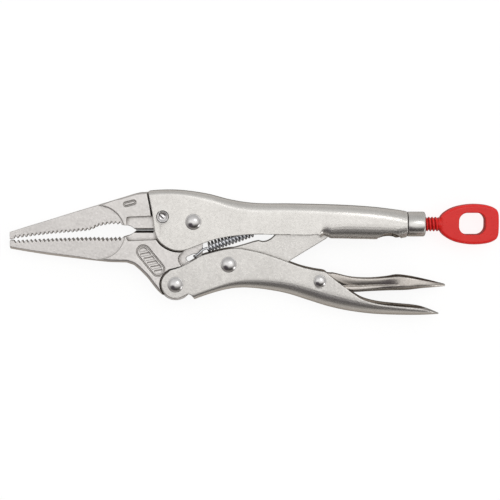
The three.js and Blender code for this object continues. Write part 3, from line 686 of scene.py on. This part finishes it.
def release_lever():
    def outside(x):
        low, high, half, bend = lever_bottom(x), lever_top(x), lever_half(x), lever_bend(x)
        ledge, waist = min(2.5, 0.5 * (high - low)), lever_waist(x)
        foot = low + 1.2 * ledge
        wall_line = [(high + (foot - high) * t, half - waist * t**2) for t in (0.2, 0.4, 0.6, 0.8, 1)]
        press = [(low + ledge * (1 + 0.2 * t), half - waist * (3 - 2 * t) * t**2) for t in (0.75, 0.5, 0.25)]
        under = [
            (low + min(bend, ledge) * (1 - s), half - bend * (1 - c)) for c, s in arc((0, 0), 1, 0, 90, 7)
        ]
        side = [(high, half - 0.1), *wall_line, *press, *under]
        return side + [(y, -z) for y, z in reversed(side)]

    def inside(x):
        half = max(lever_half(x) - LEVER_WALL - lever_waist(x), 0.6)
        floor = min(lever_bottom(x) + LEVER_WALL, lever_top(x) - 0.3)
        bend = min(max(lever_bend(x) - LEVER_WALL, 0.4), half * 0.9)
        return rounded_ring(floor, lever_top(x) + 4, half, (bend, bend), (0.3, 0.3))

    along = np.concatenate([np.linspace(44, 88, 60), np.linspace(88.5, LEVER_END, 80)])
    lever = loft(along, outside)
    hollow = loft([43, *[x for x in along[1:] if x < 116.8], 117], inside)
    edge = region(
        [(47.4, -24.6), (49.2, -23.6)],
        spline([(49.2, -23.6), (54, -24), (60, -24.1), (66, -25), (70, -24)], 24),
        [(122, -20), (122, -36), (76, -36)],
        spline([(76, -36), (66, -33.4), (60, -32.6), (54, -30.6), (50, -28), (47.4, -25.4)], 24),
    )
    keep(cut(lever, hollow), through(edge, CLEAR))
    cut(lever, hole(LEVER_PIVOT, LEVER_HOLE))
    return wrought(lever, voxel=VOXEL * 0.8, smoothing=3, most=60000)


# ---------------------------------------------------------------- jaws, link, rivets, pin


def forging(node, most):
    """A jaw, from its CAD shape, with the edges that a forging has."""
    return wrought(from_cad(node), VOXEL * 0.9, 3, most)


def toggle_link():
    outline = region(
        arc(LINK_PIVOT, 6.4, 270, 118, 40),
        spline([(13.8, -14.7), (18, -12.9), (24, -11.2), (28.6, -9.8), (31, -9.2)], 24),
        spline([(31, -9.2), (33.4, -9.7), (36, -9), (38.2, -7.4), (40, -5)], 24),
        spline([(40, -5), (44, -1.6), (50, 0.7), (57, 1.6), (63.8, 1.8)], 24),
        arc((63.8, -1.6), 3.4, 90, -40, 24),
        spline([(66.4, -3.8), (65.4, -6.2), (63.6, -8.1)], 8),
        spline([(46.8, -18.3), (44, -20.4), (36, -23.4), (27, -25.6), (16.8, -26.8)], 30),
    )
    link = through(outline, 3.2)
    return wrought(cut(link, hole(LINK_PIVOT, RIVET_HOLE)), voxel=VOXEL * 1.2, smoothing=4, most=50000)


def mirrored(half):
    """A (radius, z) section with its other half, below the middle plane."""
    return [*half, *[(r, -z) for r, z in reversed(half)]]


def rivet(centre, shank, head, seat):
    """A domed rivet through the stack, headed on both sides, with a soft rim."""
    rise, rim = REST_HEIGHT - seat, 0.22
    ball = (head**2 + rise**2) / (2 * rise)
    dome = [
        (r, REST_HEIGHT - ball + math.sqrt(ball**2 - r**2)) for r in np.linspace(0, head - rim, 22)
    ]
    low = dome[-1][1]
    for a in np.linspace(0.25, math.pi / 2, 6):
        dome.append((head - rim + rim * math.sin(a), seat + (low - seat) * math.cos(a)))
    obj = lathe(mirrored([*dome, (head - 0.05, seat), (shank, seat)]), 72)
    return reshape(obj, lambda x, y, z: (x + centre[0], y + centre[1], z))


def fixing_pin():
    """The pin with its dished and chisel-marked ends."""
    pin = lathe(mirrored([
        (0, 5.05), (0.6, 5.08), (1.2, 5.2), (1.8, 5.5), (2.2, 5.85), (2.45, 6.02), (2.6, 6.0), (2.68, 5.85),
    ]), 64)  # fmt: skip

    def dish(x, y, z):
        fold = np.exp(-(((x * 0.7 + y * 0.72) / 0.42) ** 2)) * np.clip(1 - np.hypot(x, y) / 2.4, 0, 1)
        depth = np.sign(z) * np.where(np.abs(z) > 4, 0.55 * fold, 0)
        return x + FIXING_PIN[0], y + FIXING_PIN[1], z + depth

    return reshape(pin, dish)


# ---------------------------------------------------------------- adjusting screw, collar, stop ring


def along_screw(obj):
    """Turns a lathe about z into one about the screw's axis, with its z as x."""
    return reshape(obj, lambda x, y, z: (z, SCREW_Y + x, y))


def round_screw(x, r, a):
    """The point at x, r from the screw's axis and at angle a round it."""
    return (x, SCREW_Y + r * math.cos(a), r * math.sin(a))


def thread():
    """The threaded spindle, with a groove for the stop ring."""
    sides, per_pitch = 48, 14
    start = RING_X + 2.4
    count = int((LOOP_START - start) / THREAD_PITCH * per_pitch)
    rings = [
        (x, [r] * sides) for x, r in (
            (SCREW_TIP, 2.0), (SCREW_TIP + 0.5, 2.6), (SCREW_TIP + 0.9, SPINDLE), (RING_X - 0.3, SPINDLE),
            (RING_X - 0.28, 2.5), (RING_END + 0.28, 2.5), (RING_END + 0.3, SPINDLE),
        )
    ]  # fmt: skip
    for i in range(count + 1):
        x = start + (LOOP_START - start) * i / count
        fade = min(1, (x - start) / 1.2, (LOOP_START - x) / 0.8 + 0.02)
        radii = []
        for a in range(sides):
            turn = ((x - start) / THREAD_PITCH - a / sides) % 1
            crest = min(1, max(0, 1.35 - 2.9 * abs(turn - 0.5)))
            radii.append(THREAD_CORE + (THREAD_RADIUS - 0.02 - THREAD_CORE) * crest * fade)
        rings.append((x, radii))
    rings.append((LOOP_START + 3, [SPINDLE] * sides))
    return skin([
        [round_screw(x, r, 2 * math.pi * a / sides) for a, r in enumerate(radii)] for x, radii in rings
    ])


def adjusting_screw():
    upper = [(118, 2), (119.6, 3.9), (122.6, 5.9), (126, 7.2), (130, 8), (134, 8.3), (138, 8.1), (141.4, 7.5),
             (144, 6.4), (145.5, 4.9), (146.1, 2)]  # fmt: skip
    lower = [(x, 2 * SCREW_Y - y) for x, y in reversed(upper)]
    outline = region(spline([*upper, *lower], 160))
    loop = rounded_plate(outline, 3.6, 1.9, 1.4)
    front, back, top, low = 131, 135.5, 0.1, 2 * SCREW_Y + 0.5
    corners = ((back, top), (front, top), (front, low), (back, low))
    window = region(*(arc(corner, 4, 90 * i, 90 * (i + 1)) for i, corner in enumerate(corners)))
    cut(loop, rounded_plate(window, 3.75, 1.0, 0.7, flare=True))
    neck = along_screw(lathe([
        (0, 116.5), (2.7, 116.5), (2.9, 117.2), (3.3, 118), (3.45, 119), (3.3, 121), (2.6, 123.5), (0, 125),
    ]))  # fmt: skip
    wrought(join(loop, neck), voxel=VOXEL, smoothing=8, most=60000)
    return join(thread(), loop)


def screw_collar():
    bore, spigot = THREAD_RADIUS + 0.25, SEAT_RADIUS - 0.3
    section = (
        (bore, COLLAR_START), (spigot, COLLAR_START), (spigot, COLLAR_FACE),
        (COLLAR_RADIUS - 0.35, COLLAR_FACE), (COLLAR_RADIUS - 0.1, COLLAR_FACE + 0.12),
        (COLLAR_RADIUS, COLLAR_FACE + 0.4), (COLLAR_RADIUS, COLLAR_END - 0.8),
        (COLLAR_RADIUS - 0.12, COLLAR_END - 0.45), (COLLAR_RADIUS - 0.4, COLLAR_END - 0.15),
        (COLLAR_RADIUS - 0.8, COLLAR_END), (bore + 0.4, COLLAR_END), (bore, COLLAR_END - 0.3),
    )  # fmt: skip
    turn = np.linspace(0, 2 * math.pi, 96, endpoint=False)
    collar = skin([[round_screw(x, r, a) for a in turn] for r, x in section], closed=True)
    bevel = collar.modifiers.new("bevel", "BEVEL")
    bevel.width, bevel.segments, bevel.limit_method, bevel.angle_limit = 0.06, 2, "ANGLE", math.radians(50)
    return bake(collar)


def stop_ring():
    """An open ring in the screw's groove."""
    gap = math.radians(27)
    section = ((2.8, RING_X), (4.2, RING_X), (4.2, RING_END), (2.8, RING_END))
    turn = np.linspace(-math.pi + gap, math.pi - gap, 72)
    return skin([[round_screw(x, r, a) for r, x in section] for a in turn])


# ---------------------------------------------------------------- return spring


def return_spring():
    start, end = np.array((6.6, -12.7)), np.array((28, -5.2))
    length = np.linalg.norm(end - start)
    unit = (end - start) / length
    across = np.array((-unit[1], unit[0]))
    turns = round(length / 1.8) + 0.5
    coil = []
    for t in np.linspace(0, 1, int(turns * 28)):
        a = 2 * math.pi * turns * t + math.pi / 2
        x, y = start + (end - start) * t + across * (COIL_RADIUS * math.cos(a))
        coil.append((x, y, COIL_RADIUS * math.sin(a)))
    jaw_hook = spline([
        (0.1, -16.9, -1.8), (0.3, -17, 0), (0.6, -16.9, 1.5), (2.4, -15.4, 2), (4.4, -13.6, 2), coil[0],
    ], 40)  # fmt: skip
    handle_hook = spline([coil[-1], (28.8, -3.9, -1.3), (29.6, -2.6, -0.2), (31, -2.1, 0), (32.9, -2, 0)], 30)
    return tube([*jaw_hook[:-1], *coil, *handle_hook[1:]], WIRE)


# ---------------------------------------------------------------- assembly

finish_piece(upper_handle(), "fixed_handle_channel", "fixed_frame", SATIN, "upper_handle")
finish_piece(
    forging("fixed_jaw", 90000), "fixed_jaw_forging", "fixed_frame", FORGED, "fixed_jaw"
)
finish_piece(fixing_pin(), "jaw_fixing_pin", "fixed_frame", BRIGHT, "fixed_jaw_pin")
finish_piece(
    forging("lower_jaw", 110000), "moving_jaw_forging", "moving_jaw", FORGED, "lower_jaw"
)
for obj, name, body, material, node in (
    (lower_handle(), "moving_handle_channel", "moving_handle", SHADED_SATIN, "lower_handle"),
    (toggle_link(), "toggle_link_plate", "toggle", SHADED_SATIN, "toggle_link"),
    (release_lever(), "release_lever_spoon", "lever", PRESSED, "release_lever"),
):
    finish_piece(obj, name, body, material, node)
for name, body, node, where, size in (
    ("main_rivet", "fixed_frame", "main_pivot_rivet", MAIN_PIVOT, RIVET),
    ("jaw_rivet", "moving_handle", "jaw_handle_rivet", JAW_PIVOT, RIVET),
    ("toggle_rivet", "moving_handle", "link_rivet", LINK_PIVOT, RIVET),
    ("lever_rivet", "moving_handle", "lever_pin", LEVER_PIVOT, LEVER_RIVET),
):
    finish_piece(rivet(where, *size), name, body, BRIGHT, node)
finish_piece(screw_collar(), "threaded_collar", "fixed_frame", TURNED, "screw_collar")
finish_piece(stop_ring(), "screw_snap_ring", "screw_carriage", STEEL, "screw_stop_ring")
finish_piece(adjusting_screw(), "screw_and_loop", "screw", RED, "adjusting_screw")
spring = finish_piece(return_spring(), "extension_spring", None, STEEL, "return_spring")
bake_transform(spring)

# ---------------------------------------------------------------- floor, light, camera

FLOOR_HALF = 2.0
corners = [(x * FLOOR_HALF, y * FLOOR_HALF, 0) for x, y in ((-1, -1), (1, -1), (1, 1), (-1, 1))]
floor_mesh = bpy.data.meshes.new("floor")
floor_mesh.from_pydata(corners, [], [(0, 1, 2, 3)])
floor = bpy.data.objects.new("floor", floor_mesh)
floor.location.z = -0.0001
scene.collection.objects.link(floor)
paper = bpy.data.materials.new("paper")
paper.use_nodes = True
sheet = paper.node_tree.nodes["Principled BSDF"]
sheet.inputs["Base Color"].default_value = (0.22, 0.22, 0.22, 1)
sheet.inputs["Roughness"].default_value = 1.0
sheet.inputs["Emission Color"].default_value = (1, 1, 1, 1)
sheet.inputs["Emission Strength"].default_value = 0.86
floor_mesh.materials.append(paper)
floor.visible_glossy = False

# the studio's cards: colour by the angle round the tool's length, in degrees,
# 0 straight up and 90 level with the fixed handle's side
AROUND = (
    (-180, 0.16, 0.15, 0.14), (-148, 0.20, 0.17, 0.14), (-120, 0.42, 0.38, 0.34), (-92, 0.56, 0.53, 0.50),
    (-78, 0.42, 0.40, 0.38), (-62, 0.05, 0.045, 0.04), (-44, 0.05, 0.046, 0.044), (-32, 0.30, 0.29, 0.285),
    (-20, 0.78, 0.77, 0.76), (-8, 1.08, 1.07, 1.06), (8, 1.08, 1.08, 1.08), (22, 0.90, 0.90, 0.90),
    (38, 0.72, 0.72, 0.72), (58, 0.58, 0.58, 0.58), (80, 0.50, 0.495, 0.49), (110, 0.56, 0.545, 0.53),
    (145, 0.54, 0.52, 0.50), (166, 0.14, 0.13, 0.12), (180, 0.16, 0.15, 0.14),
)  # fmt: skip
ENDS = (0.46, 0.45, 0.44)
DARK_CARD = (0.07, 0.06, 0.07)
DARK_CARD_TOWARDS = Vector((-0.44, -0.52, 0.73))

world = bpy.data.worlds.new("studio")
scene.world = world
world.use_nodes = True
tree = world.node_tree


def sky(kind, *sources, **settings):
    """A world node whose first inputs are fed by the sources."""
    node = tree.nodes.new(kind)
    for key, value in settings.items():
        setattr(node, key, value)
    for source, target in zip(sources, node.inputs, strict=False):
        tree.links.new(source, target)
    return node


def sky_span(source, low, high, **settings):
    node = sky("ShaderNodeMapRange", source, **settings)
    node.inputs["From Min"].default_value, node.inputs["From Max"].default_value = low, high
    return node.outputs["Result"]


def sky_mix(factor, colour, other):
    node = sky("ShaderNodeMix", factor, data_type="RGBA")
    tree.links.new(colour, node.inputs[6])
    node.inputs[7].default_value = (*other, 1)
    return node.outputs[2]


towards = sky("ShaderNodeTexCoord").outputs["Generated"]
split = sky("ShaderNodeSeparateXYZ", towards)
lean = sky("ShaderNodeMath", split.outputs["Y"], split.outputs["Z"], operation="ARCTAN2")
ramp = sky("ShaderNodeValToRGB", sky_span(lean.outputs["Value"], -math.pi, math.pi))
stops = ramp.color_ramp.elements
while len(stops) < len(AROUND):
    stops.new(1)
for stop, (angle, *colour) in zip(stops, AROUND, strict=True):
    stop.position, stop.color = 0.5 + angle / 360, (*colour, 1)
# towards both ends of the tool the ring of light fades to an even grey
ends = sky("ShaderNodeMath", split.outputs["X"], operation="ABSOLUTE")
fade = sky_span(ends.outputs["Value"], 0.55, 0.97, interpolation_type="SMOOTHSTEP")
ring = sky_mix(fade, ramp.outputs["Color"], ENDS)
# a dark card low on the left, which every dome shows as a patch
facing = sky("ShaderNodeVectorMath", towards, operation="DOT_PRODUCT")
facing.inputs[1].default_value = DARK_CARD_TOWARDS.normalized()
card = sky_span(facing.outputs["Value"], 0.88, 0.965, interpolation_type="SMOOTHSTEP")
tree.links.new(sky_mix(card, ring, DARK_CARD), tree.nodes["Background"].inputs["Color"])
tree.nodes["Background"].inputs["Strength"].default_value = 1.0


def softbox(name, place, size, power):
    light = bpy.data.lights.new(name, "AREA")
    light.shape, light.size, light.size_y = "RECTANGLE", *size
    light.energy = power
    obj = bpy.data.objects.new(name, light)
    obj.location = place
    obj.rotation_mode = "QUATERNION"
    obj.rotation_quaternion = (Vector(place) - Vector((0.03, -0.015, 0.01))).to_track_quat("Z", "Y")
    scene.collection.objects.link(obj)


softbox("overhead", (0.1, 0.3, 0.9), (0.3, 0.25), 0.06)
softbox("key", (0.3, 0.26, 0.76), (0.28, 0.24), 0.3)
softbox("fill", (0.7, -0.5, 0.25), (0.3, 0.25), 0.5)

VIEW_TILT = math.radians(5)
DISTANCE = 0.65
VIEW_WIDTH = 0.24
SENSOR = 36
target = Vector((0.027, -0.0138, 0.009))
camera_data = bpy.data.cameras.new("camera")
camera = bpy.data.objects.new("camera", camera_data)
camera.location = target + DISTANCE * Vector((0, math.sin(VIEW_TILT), math.cos(VIEW_TILT)))
camera.rotation_euler = (-VIEW_TILT, 0, 0)
camera_data.sensor_width = SENSOR
camera_data.lens = SENSOR * DISTANCE / VIEW_WIDTH
camera_data.clip_start, camera_data.clip_end = 0.01, 10
scene.collection.objects.link(camera)
scene.camera = camera
scene.view_settings.view_transform = "Standard"
